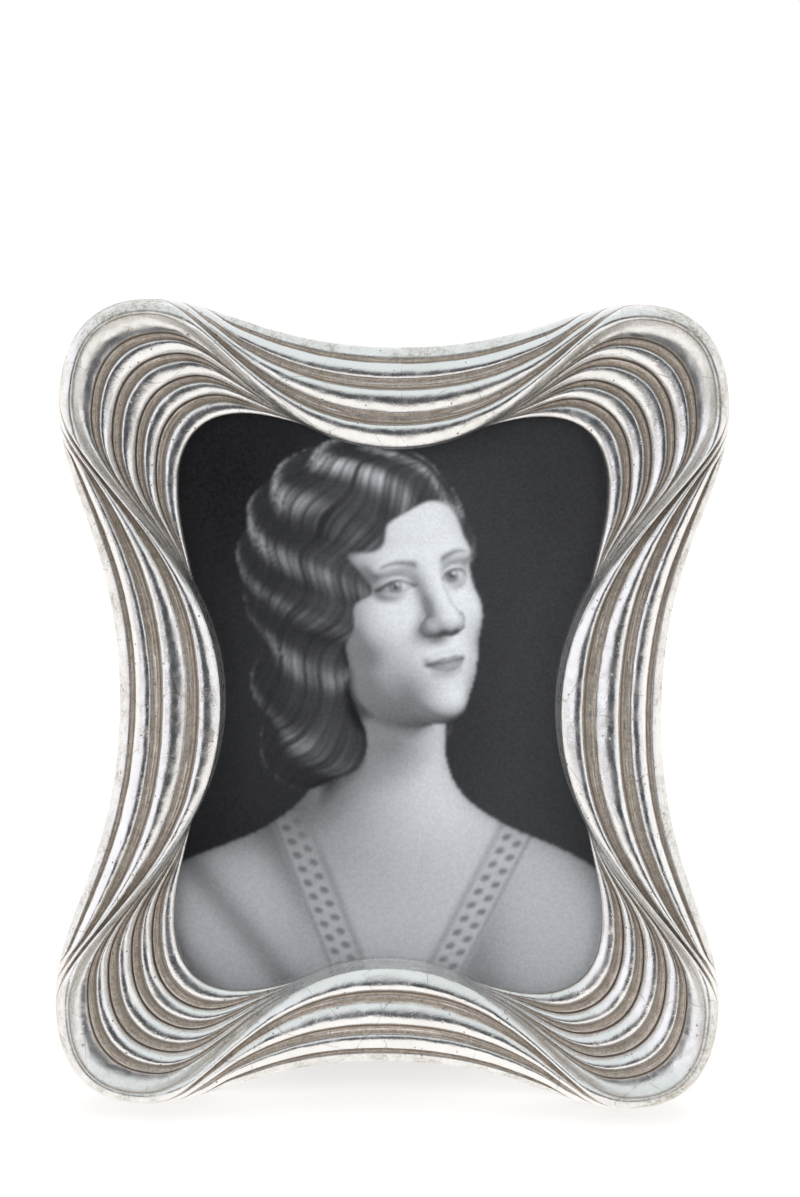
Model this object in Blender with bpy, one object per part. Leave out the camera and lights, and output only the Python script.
# Table photo frame for a 6 x 8 inch print: a waisted, ribbed resin moulding, glass, back and easel leg.
# Every piece is drawn in the plate's own coordinates: x to the right, z up the plate, both from its centre,
# and y backwards from the back plane, so the front is at negative y. The plate is then leaned back and
# stood on the floor. The origin ends at the bottom centre of the whole object's box.
from math import atan2, cos, pi, radians, sin

import bmesh
import bpy
import numpy as np
from mathutils import Matrix, Vector

MM = 0.001

# Air between pieces that touch
GAP = 0.3 * MM

# Print, and the stack that fills the rebate from the glass to the back plane
PRINT_W = 152.4 * MM
PRINT_H = 203.2 * MM
PRINT_T = 0.3 * MM
GLASS_T = 2.0 * MM
GLASS_EDGE = 0.25 * MM
CARD_T = 1.5 * MM
BOARD_T = 3.0 * MM
VELVET_T = 0.6 * MM
REBATE_PLAY = 0.8 * MM

# Moulding heights above the back plane
LIP_T = 3.0 * MM
CREST_H = 27.5 * MM
RIM_H_WAIST = 17.5 * MM
RIM_H_LOBE = 18.0 * MM

# Opening, seen from the front: how far it covers the print, its corners and its drawn-in sides
SIGHT_COVER = 3.5 * MM
SIGHT_RUN = 22.4 * MM
SIGHT_RISE = 24.7 * MM
SIGHT_SIDE_DIP = 9.5 * MM
SIGHT_TOP_DIP = 7.1 * MM

# Crest: how far it stands outside the opening, its corners and its waists
CREST_OUT_W = 34.7 * MM
CREST_OUT_H = 33.0 * MM
CREST_RUN = 25.1 * MM
CREST_RISE = 29.0 * MM
CREST_SIDE_DIP = 50.2 * MM
CREST_TOP_DIP = 43.3 * MM

# Outline: the lobes stand outside the crest, and the rails run past the crest's waists
LOBE_OUT = 5.1 * MM
LOBE_RUN = 30.8 * MM
LOBE_RISE = 36.0 * MM
SIDE_RAIL_W = 34.2 * MM
TOP_RAIL_W = 33.1 * MM

# Handles of the three cubic curves that make a quarter of a loop, as shares of what each one spans
WAIST_HANDLE = 0.536
FLANK_HANDLE = 0.28
LOBE_HANDLE = 0.654

# Where the crest hangs over the opening, the wall under it keeps this far inside the crest
CREST_WALL = 1.2 * MM
WALL_BLEND = 0.8 * MM

# Ribs of the corner fans: creases as shares of the way from the opening to the crest
FAN_CREASES = (0.0, 0.215, 0.41, 0.63, 0.826)
FAN_SAMPLES = (0.0, 0.14, 0.28, 0.42, 0.56, 0.88)
FAN_ROLL_END = 0.56
FAN_SHELF = 0.2
FAN_RIB_H = 0.048
FAN_CURVE = 1.6
DISH_SAMPLES = (0.0, 0.35, 0.7)
DISH_SAG = 0.034

# Ribs of the rails, from the crest outwards: crest roll, groove, rib, groove, rib, fine groove and rim.
# Each has its width at the waist, its rise as a share of its width, and the width of the rail at which it
# parts from its neighbour
RAIL_WIDTHS = (7.3 * MM, 4.8 * MM, 7.2 * MM, 4.1 * MM, 5.4 * MM, 1.7 * MM, 3.7 * MM)
RAIL_RISES = (0.17, -0.24, 0.24, -0.26, 0.24, -0.28, 0.24)
RAIL_PARTS = (0.0, 5.0 * MM, 5.0 * MM, 12.0 * MM, 12.0 * MM, 20.0 * MM, 20.0 * MM)
PARTING = 8.0 * MM
LEAST_PARTED = 0.04
FALL_POWER = 4.4
RIDGE_STEPS = 3
GROOVE_STEPS = 2
KEPT_SHARE = 0.9

# Rays from the plate's centre on which the moulding's sections lie
SIDE_RAYS = 13
TOP_RAYS = 9
RAY_CROWDING = 0.45
OUTLINE_STEPS = 60

# How the frame stands
LEAN = radians(14.0)
LEG_OPEN = radians(26.0)
FOOT_FLAT = 1.0 * MM

# Easel leg, folded flat behind the board
PIN_Z = 20.0 * MM
LEG_AIR = 0.6 * MM
LEG_T = 2.2 * MM
LEG_VELVET_T = 0.5 * MM
LEG_TOP_W = 42.0 * MM
LEG_FOOT_W = 76.0 * MM
LEG_CORNER_R = 6.0 * MM
LEG_VELVET_INSET = 0.6 * MM
LEG_TOP_CLEAR = 0.8 * MM

# Strap hinge
LEAF_T = 0.8 * MM
LEAF_LENGTH = 22.0 * MM
LEAF_CORNER_R = 3.0 * MM
PIN_PLAY = 0.3 * MM
TONGUE_W = 6.0 * MM
BOARD_KNUCKLE_W = 5.0 * MM
LEG_KNUCKLE_W = 5.0 * MM
CURL_TURN = radians(290.0)
CURL_STEPS = 14
PIN_HEAD_R = 1.8 * MM
PIN_HEAD_T = 0.6 * MM

# Rivets: places from the pin, across and along a leaf. A dome is given as shares of its radius and height
RIVET_PLACES = ((-8.0 * MM, 9.5 * MM), (8.0 * MM, 9.5 * MM), (0.0, 17.0 * MM))
RIVET_SHANK_R = 1.3 * MM
RIVET_HEAD_R = 2.5 * MM
RIVET_HEAD_T = 0.9 * MM
RIVET_DOME = ((0.0, 1.0), (0.6, 0.88), (1.0, 0.45), (1.0, 0.0))
RIVET_CLINCH_R = 2.3 * MM
RIVET_CLINCH_T = 0.5 * MM

# Turn buttons and their screws
BUTTON_FROM_REBATE = 7.5 * MM
BUTTON_Z = 60.0 * MM
BUTTON_T = 1.0 * MM
BUTTON_W = 8.0 * MM
BUTTON_REACH = 12.5 * MM
BUTTON_TAIL = 4.5 * MM
SCREW_SHANK_R = 1.2 * MM
SCREW_HEAD_R = 2.9 * MM
SCREW_HEAD_T = 1.5 * MM
SCREW_DOME = ((0.0, 1.0), (0.62, 0.92), (0.92, 0.6), (1.0, 0.2), (0.97, 0.0))
SCREW_DEPTH = 9.5 * MM
SCREW_POINT = 2.0 * MM
CROSS_LENGTH = 3.2 * MM
CROSS_WIDTH = 0.7 * MM
CROSS_DEPTH = 0.9 * MM

ROUND_STEPS = 16
CORNER_STEPS = 4
END_STEPS = 8
SHARP_ANGLE = radians(45.0)
CUT_MARGIN = 2.0 * MM
WELD = 0.001 * MM
LEAST_SLOPE = 1e-9

# Depths of the stack, counted from the back plane to the front
VELVET_FRONT = -VELVET_T
BOARD_BACK = VELVET_FRONT - GAP
BOARD_FRONT = BOARD_BACK - BOARD_T
CARD_BACK = BOARD_FRONT - GAP
CARD_FRONT = CARD_BACK - CARD_T
PRINT_BACK = CARD_FRONT - GAP
PRINT_FRONT = PRINT_BACK - PRINT_T
GLASS_BACK = PRINT_FRONT - GAP
GLASS_FRONT = GLASS_BACK - GLASS_T
REBATE_FRONT = GLASS_FRONT - GAP
REBATE_HALF_W = PRINT_W / 2 + REBATE_PLAY
REBATE_HALF_H = PRINT_H / 2 + REBATE_PLAY
LIP_H = LIP_T - REBATE_FRONT

# Half sizes of the three loops: widest and highest reach, then the waists
SIGHT_HALF_W = PRINT_W / 2 - SIGHT_COVER
SIGHT_HALF_H = PRINT_H / 2 - SIGHT_COVER
CREST_HALF_W = SIGHT_HALF_W + CREST_OUT_W
CREST_HALF_H = SIGHT_HALF_H + CREST_OUT_H
LOBE_HALF_W = CREST_HALF_W + LOBE_OUT
LOBE_HALF_H = CREST_HALF_H + LOBE_OUT
CREST_SIDE_WAIST = CREST_HALF_W - CREST_SIDE_DIP
CREST_TOP_WAIST = CREST_HALF_H - CREST_TOP_DIP

# Hinge: the folded leg's stack sets the barrel, whose two sides the leaves run into
BARREL_R = (LEG_AIR + LEG_T + GAP + LEG_VELVET_T + GAP + LEAF_T - GAP) / 2
BORE_R = BARREL_R - LEAF_T
PIN_R = BORE_R - PIN_PLAY
PIN_Y = GAP + BARREL_R
LEG_INNER = LEG_AIR - PIN_Y
LEG_OUTER = LEG_INNER + LEG_T
LEG_VELVET_INNER = LEG_OUTER + GAP
LEG_VELVET_OUTER = LEG_VELVET_INNER + LEG_VELVET_T
LEG_TOP = -(BARREL_R + LEG_TOP_CLEAR)
BOARD_KNUCKLE_X = TONGUE_W / 2 + GAP
LEG_KNUCKLE_X = BOARD_KNUCKLE_X + BOARD_KNUCKLE_W + GAP
LEAF_HALF_W = LEG_KNUCKLE_X + LEG_KNUCKLE_W
LEAF_START = BARREL_R + LEG_TOP_CLEAR
TONGUE_UP = (BORE_R * (1 + cos(LEG_OPEN)) - GAP) / sin(LEG_OPEN)

# Floor and foot, in the leaned plate's world before it is moved to its origin
FLOOR_Z = -LOBE_HALF_H * cos(LEAN) + FOOT_FLAT
PIN_WORLD_Z = PIN_Z * cos(LEAN) - PIN_Y * sin(LEAN)
LEG_SLOPE = LEG_OPEN - LEAN


def clear_scene():
    """Remove whatever the scene holds."""
    for thing in list(bpy.data.objects):
        bpy.data.objects.remove(thing, do_unlink=True)


def material(name, colour, roughness, metallic=0.0, alpha=1.0):
    """A Principled material of one colour."""
    made = bpy.data.materials.new(name)
    made.use_nodes = True
    shader = made.node_tree.nodes["Principled BSDF"]
    shader.inputs["Base Color"].default_value = (*colour, 1.0)
    shader.inputs["Roughness"].default_value = roughness
    shader.inputs["Metallic"].default_value = metallic
    shader.inputs["Alpha"].default_value = alpha
    return made


def empty(name, parent=None, location=(0, 0, 0), turn_x=0.0):
    """An empty that places the pieces parented to it."""
    made = bpy.data.objects.new(name, None)
    bpy.context.scene.collection.objects.link(made)
    made.parent = parent
    made.location = location
    made.rotation_euler = (turn_x, 0, 0)
    return made


def piece(name, shape, finish, parent, location=(0, 0, 0), smooth=None):
    """Turn a bmesh, or a mesh that another piece already uses, into a named object."""
    if isinstance(shape, bmesh.types.BMesh):
        bmesh.ops.recalc_face_normals(shape, faces=shape.faces)
        mesh = bpy.data.meshes.new(name)
        shape.to_mesh(mesh)
        shape.free()
    else:
        mesh = shape
    if smooth is not None:
        mesh.shade_smooth()
        mesh.set_sharp_from_angle(angle=smooth)
    if finish is not None and not mesh.materials:
        mesh.materials.append(finish)
    made = bpy.data.objects.new(name, mesh)
    bpy.context.scene.collection.objects.link(made)
    made.parent = parent
    made.location = location
    return made


def boolean(target, tool, operation):
    """Cut or join one piece with a tool that stays hidden."""
    tool.hide_render = True
    tool.display_type = "WIRE"
    step = target.modifiers.new(operation.lower(), "BOOLEAN")
    step.operation = operation
    step.solver = "EXACT"
    step.object = tool


def block(low, high):
    """A box between two corners."""
    shape = bmesh.new()
    bmesh.ops.create_cube(shape, size=1.0)
    size = Vector(high) - Vector(low)
    middle = (Vector(high) + Vector(low)) / 2
    place = Matrix.Translation(middle) @ Matrix.Diagonal((*size, 1))
    bmesh.ops.transform(shape, matrix=place, verts=shape.verts)
    return shape


def turned(profile, steps=ROUND_STEPS):
    """A solid turned about the y axis from (radius, y) points that start and end on the axis."""
    shape = bmesh.new()
    points = [shape.verts.new((radius, y, 0)) for radius, y in profile]
    edges = [shape.edges.new(pair) for pair in zip(points, points[1:])]
    bmesh.ops.spin(shape, geom=points + edges, cent=(0, 0, 0), axis=(0, 1, 0), angle=2 * pi, steps=steps)
    bmesh.ops.remove_doubles(shape, verts=shape.verts, dist=WELD)
    return shape


def prism(outline, start, end, place):
    """A closed outline carried from start to end; place turns (u, v, depth) into a point."""
    shape = bmesh.new()
    rings = [[shape.verts.new(place(u, v, depth)) for u, v in outline] for depth in (start, end)]
    shape.faces.new(rings[0])
    shape.faces.new(rings[1])
    count = len(outline)
    for i in range(count):
        j = (i + 1) % count
        shape.faces.new((rings[0][i], rings[0][j], rings[1][j], rings[1][i]))
    return shape


def flat_prism(outline, back, front):
    """An (x, z) outline that runs from one depth to another."""
    return prism(outline, back, front, lambda u, v, depth: (u, depth, v))


def arc(centre, radius, start, end, steps):
    """Points along an arc."""
    angles = [start + (end - start) * i / steps for i in range(steps + 1)]
    return [(centre[0] + radius * cos(a), centre[1] + radius * sin(a)) for a in angles]


def rounded_block(half_w, low, high, radius, steps=CORNER_STEPS):
    """The (x, z) outline of a plate whose far corners, at high, are rounded."""
    inward = radius if high > low else -radius
    right = []
    for i in range(steps + 1):
        a = pi / 2 * i / steps
        right.append((half_w - radius + radius * cos(a), high - inward + inward * sin(a)))
    left = [(-x, z) for x, z in reversed(right)]
    return [(half_w, low)] + right + left + [(-half_w, low)]


def cylinder_cutter(name, radius, start, end, parent, location):
    """A round cutter along y."""
    profile = [(0, start), (radius, start), (radius, end), (0, end)]
    return piece(name, turned(profile), None, parent, location)


def cubic(points, steps):
    """Points of a cubic curve through its four control points."""
    t = np.linspace(0, 1, steps)[:, None]
    a, b, c, d = (np.array(p, float) for p in points)
    return (1 - t) ** 3 * a + 3 * (1 - t) ** 2 * t * b + 3 * (1 - t) * t ** 2 * c + t ** 3 * d


def loop_radius(angles, half_w, half_h, run, rise, side_waist, top_waist):
    """Distance from the centre to a loop of four waists and four lobes, at each angle.

    A quarter is three cubic curves: from the side's waist up, round the lobe, and in to the top's waist.
    """
    side_z = half_h - rise
    top_x = half_w - run
    lobe_side = (half_w, side_z)
    lobe_top = (top_x, half_h)
    side = (
        (side_waist, 0),
        (side_waist, WAIST_HANDLE * side_z),
        (half_w, (1 - FLANK_HANDLE) * side_z),
        lobe_side,
    )
    lobe = (
        lobe_side,
        (half_w, side_z + LOBE_HANDLE * rise),
        (top_x + LOBE_HANDLE * run, half_h),
        lobe_top,
    )
    top = (
        lobe_top,
        ((1 - FLANK_HANDLE) * top_x, half_h),
        (WAIST_HANDLE * top_x, top_waist),
        (0, top_waist),
    )
    line = np.vstack([cubic(curve, OUTLINE_STEPS) for curve in (side, lobe, top)])
    folded = np.arctan2(np.abs(np.sin(angles)), np.abs(np.cos(angles)))
    return np.interp(folded, np.arctan2(line[:, 1], line[:, 0]), np.hypot(line[:, 0], line[:, 1]))


def ray_angles():
    """Angles of the rays: a quarter with rays crowded towards the rebate's corner, then mirrored round."""
    corner = atan2(REBATE_HALF_H, REBATE_HALF_W)

    def spread(count):
        t = np.linspace(0, 1, count + 1)
        return (1 - RAY_CROWDING) * t + RAY_CROWDING * (1 - (1 - t) ** 2)

    side = corner * spread(SIDE_RAYS)
    top = pi / 2 - (pi / 2 - corner) * spread(TOP_RAYS)
    quarter = np.concatenate([side, top[::-1][1:]])
    half = np.concatenate([quarter, pi - quarter[::-1][1:]])
    return np.concatenate([half, half[1:-1] + pi])


def loops(angles):
    """Radii of the opening, the crest and the outline on each ray."""
    crest = loop_radius(
        angles, CREST_HALF_W, CREST_HALF_H, CREST_RUN, CREST_RISE, CREST_SIDE_WAIST, CREST_TOP_WAIST
    )
    sight = loop_radius(
        angles,
        SIGHT_HALF_W,
        SIGHT_HALF_H,
        SIGHT_RUN,
        SIGHT_RISE,
        SIGHT_HALF_W - SIGHT_SIDE_DIP,
        SIGHT_HALF_H - SIGHT_TOP_DIP,
    )
    outer = loop_radius(
        angles,
        LOBE_HALF_W,
        LOBE_HALF_H,
        LOBE_RUN,
        LOBE_RISE,
        CREST_SIDE_WAIST + SIDE_RAIL_W,
        CREST_TOP_WAIST + TOP_RAIL_W,
    )
    wall = crest - CREST_WALL
    blend = 0.5 * (sight + wall - np.sqrt((sight - wall) ** 2 + WALL_BLEND ** 2))
    return blend, crest, outer


def fan_section(sight, crest):
    """Radii and heights from the opening's lip up to just short of the crest: ribs, then a plain dish."""
    width = crest - sight
    radii, heights = [], []
    edges = FAN_CREASES + (1.0,)
    for i, (low, high) in enumerate(zip(edges, edges[1:])):
        dish = i == len(FAN_CREASES) - 1
        for p in DISH_SAMPLES if dish else FAN_SAMPLES:
            s = low + p * (high - low)
            base = LIP_H + (CREST_H - LIP_H) * s ** FAN_CURVE
            if dish:
                rise = -DISH_SAG * width * sin(pi * p)
            else:
                roll = sin(pi * p / FAN_ROLL_END) if p < FAN_ROLL_END else 0.0
                rise = FAN_RIB_H * width * max(roll, FAN_SHELF if p > 0 else 0.0)
            radii.append(sight + s * width)
            heights.append(base + rise)
    return radii, heights


def rail_widths(width):
    """Own width of each roll and groove on each ray.

    The crest roll keeps its width as long as the rail has room. The others share the rest by their widths
    at the waist, each coming in as the rail grows past the width at which it parts.
    """
    roll = np.minimum(RAIL_WIDTHS[0], KEPT_SHARE * width)
    others = np.array(RAIL_WIDTHS[1:])[:, None]
    t = np.clip((width[None, :] - np.array(RAIL_PARTS[1:])[:, None]) / PARTING, 0, 1)
    parted = t * t * (3 - 2 * t)
    weights = others * (LEAST_PARTED + (1 - LEAST_PARTED) * parted)
    return np.vstack([roll, (width - roll) * weights / weights.sum(axis=0)])


def rail_section(crest, outer):
    """Radii and heights from the crest out to the rim's edge: rolls and grooves on a convex fall."""
    width = outer - crest
    lobe_share = np.clip(1 - (width - LOBE_OUT) / (SIDE_RAIL_W - LOBE_OUT), 0, 1)
    rim_h = RIM_H_WAIST + (RIM_H_LOBE - RIM_H_WAIST) * lobe_share
    radii, heights = [crest], [np.full_like(crest, CREST_H)]
    start = np.zeros_like(width)
    for own, rise in zip(rail_widths(width), RAIL_RISES):
        steps = RIDGE_STEPS if rise > 0 else GROOVE_STEPS
        for step in range(1, steps + 1):
            p = step / steps
            reach = start + p * own
            base = CREST_H - (CREST_H - rim_h) * (reach / width) ** FALL_POWER
            radii.append(crest + reach)
            heights.append(base + rise * own * sin(pi * p))
        start = start + own
    return radii, heights


def resin_moulding():
    """The moulding: one closed section on every ray, joined round the plate into a ring."""
    angles = ray_angles()
    sight, crest, outer = loops(angles)
    radii, heights = fan_section(sight, crest)
    rail_radii, rail_heights = rail_section(crest, outer)
    radii += rail_radii
    heights += rail_heights
    rebate = np.minimum(
        REBATE_HALF_W / np.maximum(np.abs(np.cos(angles)), LEAST_SLOPE),
        REBATE_HALF_H / np.maximum(np.abs(np.sin(angles)), LEAST_SLOPE),
    )
    flat = np.zeros_like(angles)
    ledge = flat - REBATE_FRONT
    radii += [outer, rebate, rebate, sight]
    heights += [flat, flat, ledge, ledge]
    radii = np.array([np.broadcast_to(r, angles.shape) for r in radii])
    heights = np.array([np.broadcast_to(h, angles.shape) for h in heights])
    x = radii * np.cos(angles)
    z = radii * np.sin(angles)
    shape = bmesh.new()
    sections, rays = radii.shape
    points = np.stack([x, -heights, z], axis=-1)
    grid = [[shape.verts.new(points[j, i]) for j in range(sections)] for i in range(rays)]
    for i in range(rays):
        here, there = grid[i], grid[(i + 1) % rays]
        for j in range(sections):
            k = (j + 1) % sections
            shape.faces.new((here[j], here[k], there[k], there[j]))
    return shape


def button_places():
    """Name and (x, z) of each turn button."""
    x = REBATE_HALF_W + BUTTON_FROM_REBATE
    for row, z in (("upper", BUTTON_Z), ("lower", -BUTTON_Z)):
        for side, sign in (("left", -1), ("right", 1)):
            yield f"{row}_{side}", sign * x, z, sign


def make_moulding(plate, finish):
    """The resin moulding, with its screw holes and the two flats that it stands on."""
    frame = piece("resin_frame", resin_moulding(), finish, plate, smooth=SHARP_ANGLE)
    hole_r = SCREW_SHANK_R + GAP
    for name, x, z, _ in button_places():
        hole = cylinder_cutter(f"hole_{name}", hole_r, CUT_MARGIN, -SCREW_DEPTH - GAP, plate, (x, 0, z))
        boolean(frame, hole, "DIFFERENCE")
    reach = LOBE_HALF_H
    below = block((-reach, -reach, FLOOR_Z - reach), (reach, reach, FLOOR_Z))
    floor = piece("floor_cut", below, None, plate.parent)
    boolean(frame, floor, "DIFFERENCE")
    return frame


def make_stack(plate, finishes):
    """Glass, print, card, board and velvet, from the front to the back."""
    half_w = PRINT_W / 2
    half_h = PRINT_H / 2

    def sheet(name, back, front, finish):
        return piece(name, block((-half_w, front, -half_h), (half_w, back, half_h)), finish, plate)

    glass = sheet("glass_pane", GLASS_BACK, GLASS_FRONT, finishes["glass"])
    edge = glass.modifiers.new("ground_edge", "BEVEL")
    edge.width = GLASS_EDGE
    edge.segments = 1
    sheet("photo_print", PRINT_BACK, PRINT_FRONT, finishes["paper"])
    sheet("filler_card", CARD_BACK, CARD_FRONT, finishes["card"])
    board = sheet("backboard", BOARD_BACK, BOARD_FRONT, finishes["board"])
    velvet = sheet("back_velvet", 0.0, VELVET_FRONT, finishes["velvet"])
    for i, (x, along) in enumerate(RIVET_PLACES):
        spot = (x, 0, PIN_Z + along)
        hole = cylinder_cutter(
            f"board_hole_{i}", RIVET_SHANK_R + GAP, CUT_MARGIN, BOARD_FRONT - CUT_MARGIN, plate, spot
        )
        boolean(board, hole, "DIFFERENCE")
        boolean(velvet, hole, "DIFFERENCE")
        seat_back = BOARD_FRONT + RIVET_CLINCH_T + 2 * GAP
        seat = cylinder_cutter(
            f"board_seat_{i}", RIVET_CLINCH_R + GAP, seat_back, BOARD_FRONT - CUT_MARGIN, plate, spot
        )
        boolean(board, seat, "DIFFERENCE")


def curl(side):
    """The (y, z) outline of a strap that curls round the pin; side is 1 for the leg's leaf."""
    start = LEAF_START + LEAF_CORNER_R
    outside = [(BARREL_R, -start)] + arc((0, 0), BARREL_R, 0, CURL_TURN, CURL_STEPS)
    inside = [(BORE_R, -start)] + arc((0, 0), BORE_R, 0, CURL_TURN, CURL_STEPS)
    return [(side * y, side * z) for y, z in outside + inside[::-1]]


def make_leaf(name, side, knuckle_x, knuckle_w, finish, parent, location):
    """A hinge leaf with two curled knuckles and rivet holes; side is 1 on the leg, -1 on the board."""
    plan = rounded_block(LEAF_HALF_W, LEAF_START, LEAF_LENGTH, LEAF_CORNER_R)
    plate = flat_prism([(x, -side * z) for x, z in plan], side * BARREL_R, side * BORE_R)
    leaf = piece(name, plate, finish, parent, location)
    for hand in (-1, 1):
        near = hand * knuckle_x
        far = hand * (knuckle_x + knuckle_w)
        knuckle = prism(curl(side), near, far, lambda y, z, x: (x, y, z))
        tool = piece(f"{name}_knuckle_{hand}", knuckle, None, parent, location)
        boolean(leaf, tool, "UNION")
    for i, (x, along) in enumerate(RIVET_PLACES):
        spot = Vector(location) + Vector((x, 0, -side * along))
        reach = BARREL_R + CUT_MARGIN
        hole = cylinder_cutter(f"{name}_hole_{i}", RIVET_SHANK_R + GAP, 0.0, side * reach, parent, spot)
        boolean(leaf, hole, "DIFFERENCE")
    return leaf


def rivet_profile(head_seat, clinch_face):
    """(radius, y) of a rivet with its domed head at head_seat and its clinched end at clinch_face."""
    clinch = clinch_face + RIVET_CLINCH_T
    dome = [(r * RIVET_HEAD_R, head_seat + y * RIVET_HEAD_T) for r, y in RIVET_DOME]
    return dome + [
        (RIVET_SHANK_R, head_seat),
        (RIVET_SHANK_R, clinch),
        (RIVET_CLINCH_R, clinch),
        (RIVET_CLINCH_R, clinch_face),
        (0, clinch_face),
    ]


def make_rivets(name, profile, places, finish, parent):
    """One rivet object at each place, all sharing a mesh."""
    shape = turned(profile)
    for i, place in enumerate(places, start=1):
        made = piece(f"{name}_{i}", shape, finish, parent, place, smooth=SHARP_ANGLE)
        shape = made.data


def foot_z(y):
    """Height of the floor below the pin, along the open leg, for a point of the leg at depth y."""
    return (FLOOR_Z - PIN_WORLD_Z - y * sin(LEG_SLOPE)) / cos(LEG_SLOPE)


def leg_shape(inner, outer, inset, lift):
    """The leg's tapered plate, whose foot is cut level with the floor at the open angle."""
    shape = bmesh.new()
    rings = []
    for y in (inner, outer):
        half_foot = LEG_FOOT_W / 2 - inset
        bottom = foot_z(y) + lift
        outline = rounded_block(LEG_TOP_W / 2 - inset, bottom, LEG_TOP - inset, LEG_CORNER_R)
        outline[0] = (half_foot, bottom)
        outline[-1] = (-half_foot, bottom)
        rings.append([shape.verts.new((x, y, z)) for x, z in outline])
    shape.faces.new(rings[0])
    shape.faces.new(rings[1])
    count = len(rings[0])
    for i in range(count):
        j = (i + 1) % count
        shape.faces.new((rings[0][i], rings[0][j], rings[1][j], rings[1][i]))
    return shape


def make_leg(plate, finishes):
    """The easel leg with its velvet, leaf and rivets, on an empty that turns about the hinge pin."""
    pivot = empty("leg_pivot", plate, (0, PIN_Y, PIN_Z), LEG_OPEN)
    leg = piece("easel_leg", leg_shape(LEG_INNER, LEG_OUTER, 0.0, 0.0), finishes["leg"], pivot)
    cover = leg_shape(LEG_VELVET_INNER, LEG_VELVET_OUTER, LEG_VELVET_INSET, LEG_VELVET_INSET)
    velvet = piece("leg_velvet", cover, finishes["velvet"], pivot)
    for i, (x, along) in enumerate(RIVET_PLACES):
        spot = (x, 0, -along)
        reach = BARREL_R + CUT_MARGIN
        hole = cylinder_cutter(f"leg_hole_{i}", RIVET_SHANK_R + GAP, reach, -reach, pivot, spot)
        boolean(leg, hole, "DIFFERENCE")
        boolean(velvet, hole, "DIFFERENCE")
        seat_front = LEG_INNER + RIVET_CLINCH_T + 2 * GAP
        seat = cylinder_cutter(f"leg_seat_{i}", RIVET_CLINCH_R + GAP, seat_front, -reach, pivot, spot)
        boolean(leg, seat, "DIFFERENCE")
    leaf = make_leaf("hinge_leaf_leg", 1, LEG_KNUCKLE_X, LEG_KNUCKLE_W, finishes["steel"], pivot, (0, 0, 0))
    half_tongue = TONGUE_W / 2
    low = (-half_tongue, BORE_R, -LEAF_START - LEAF_CORNER_R)
    tongue = piece("tongue", block(low, (half_tongue, BARREL_R, TONGUE_UP)), None, pivot)
    boolean(leaf, tongue, "UNION")
    profile = rivet_profile(BARREL_R + GAP, LEG_INNER + GAP)
    places = [(x, 0, -along) for x, along in RIVET_PLACES]
    make_rivets("leg_rivet", profile, places, finishes["rivet"], pivot)


def make_hinge(plate, finishes):
    """The board's leaf, its rivets and the hinge pin."""
    centre = (0, PIN_Y, PIN_Z)
    make_leaf("hinge_leaf_board", -1, BOARD_KNUCKLE_X, BOARD_KNUCKLE_W, finishes["steel"], plate, centre)
    head_seat = PIN_Y - BORE_R + GAP
    profile = rivet_profile(head_seat, BOARD_FRONT + GAP)
    places = [(x, 0, PIN_Z + along) for x, along in RIVET_PLACES]
    make_rivets("board_rivet", profile, places, finishes["rivet"], plate)
    end = LEAF_HALF_W + GAP
    half = [(0, end + PIN_HEAD_T), (PIN_HEAD_R, end + PIN_HEAD_T), (PIN_HEAD_R, end), (PIN_R, end)]
    pin = turned(half + [(r, -y) for r, y in reversed(half)])
    bmesh.ops.rotate(pin, cent=(0, 0, 0), matrix=Matrix.Rotation(pi / 2, 3, "Z"), verts=pin.verts)
    piece("hinge_pin", pin, finishes["steel"], plate, centre, smooth=SHARP_ANGLE)


def button_shape(sign):
    """A flat strip with round ends; it reaches from its screw inwards over the board."""
    half = BUTTON_W / 2
    tip = arc((BUTTON_REACH - half, 0), half, -pi / 2, pi / 2, END_STEPS)
    tail = arc((-BUTTON_TAIL + half, 0), half, pi / 2, 3 * pi / 2, END_STEPS)
    outline = [(-sign * x, z) for x, z in tip + tail]
    return flat_prism(outline, GAP, GAP + BUTTON_T)


def screw_shape():
    """A pan-head screw along y, with its point inside the resin."""
    seat = GAP + BUTTON_T + GAP
    dome = [(r * SCREW_HEAD_R, seat + y * SCREW_HEAD_T) for r, y in SCREW_DOME]
    return turned(
        dome + [(SCREW_SHANK_R, seat), (SCREW_SHANK_R, SCREW_POINT - SCREW_DEPTH), (0, -SCREW_DEPTH)]
    )


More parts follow.
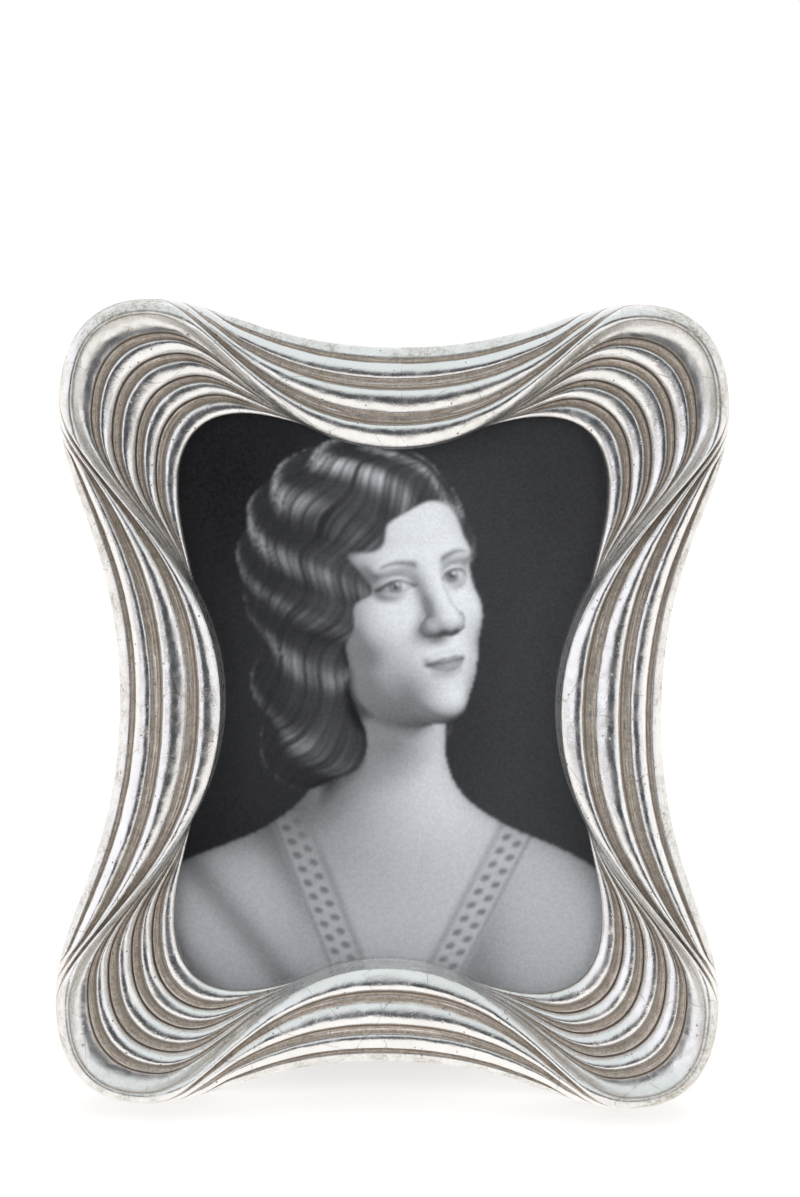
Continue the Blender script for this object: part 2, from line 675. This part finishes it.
def make_buttons(plate, finishes):
    """Four turn buttons, each with its screw; the origin of both is on the screw's axis."""
    cross_top = GAP + BUTTON_T + GAP + SCREW_HEAD_T
    for name, x, z, sign in button_places():
        spot = (x, 0, z)
        button = piece(f"turn_button_{name}", button_shape(sign), finishes["steel"], plate, spot)
        hole = cylinder_cutter(f"button_hole_{name}", SCREW_SHANK_R + GAP, -GAP, CUT_MARGIN, plate, spot)
        boolean(button, hole, "DIFFERENCE")
        shape = screw_shape()
        screw = piece(f"turn_screw_{name}", shape, finishes["screw"], plate, spot, smooth=SHARP_ANGLE)
        for turn, (half_x, half_z) in enumerate(((CROSS_LENGTH, CROSS_WIDTH), (CROSS_WIDTH, CROSS_LENGTH))):
            low = (-half_x / 2, cross_top - CROSS_DEPTH, -half_z / 2)
            arm = block(low, (half_x / 2, cross_top + CUT_MARGIN, half_z / 2))
            boolean(screw, piece(f"cross_{name}_{turn}", arm, None, plate, spot), "DIFFERENCE")


def stand_at_origin(stand):
    """Move the stand so that the bottom centre of the whole object's box is the origin."""
    bpy.context.view_layer.update()
    graph = bpy.context.evaluated_depsgraph_get()
    low = np.full(3, np.inf)
    high = np.full(3, -np.inf)
    for thing in bpy.data.objects:
        if thing.type != "MESH" or thing.hide_render:
            continue
        seen = thing.evaluated_get(graph)
        mesh = seen.to_mesh()
        points = np.empty(len(mesh.vertices) * 3)
        mesh.vertices.foreach_get("co", points)
        seen.to_mesh_clear()
        matrix = np.array(seen.matrix_world)
        points = points.reshape(-1, 3) @ matrix[:3, :3].T + matrix[:3, 3]
        low = np.minimum(low, points.min(axis=0))
        high = np.maximum(high, points.max(axis=0))
    stand.location = (0.0, -(low[1] + high[1]) / 2, -FLOOR_Z)


def build():
    """Make every piece and stand the frame on the floor."""
    clear_scene()
    finishes = {
        "silver": material("silver_leaf_resin", (0.62, 0.59, 0.56), 0.28, 0.85),
        "glass": material("picture_glass", (0.86, 0.90, 0.90), 0.02, 0.0, 0.25),
        "paper": material("print_paper", (0.22, 0.22, 0.23), 0.45),
        "card": material("grey_card", (0.55, 0.50, 0.43), 0.9),
        "board": material("brown_board", (0.36, 0.26, 0.18), 0.85),
        "velvet": material("black_velvet", (0.015, 0.015, 0.017), 0.95),
        "leg": material("leg_board", (0.05, 0.045, 0.04), 0.85),
        "steel": material("zinc_steel", (0.55, 0.56, 0.58), 0.35, 0.9),
        "rivet": material("rivet_steel", (0.66, 0.66, 0.67), 0.3, 0.9),
        "screw": material("screw_steel", (0.60, 0.58, 0.52), 0.3, 0.9),
    }
    stand = empty("stand")
    plate = empty("plate", stand, turn_x=-LEAN)
    make_moulding(plate, finishes["silver"])
    make_stack(plate, finishes)
    make_hinge(plate, finishes)
    make_leg(plate, finishes)
    make_buttons(plate, finishes)
    stand_at_origin(stand)


build()
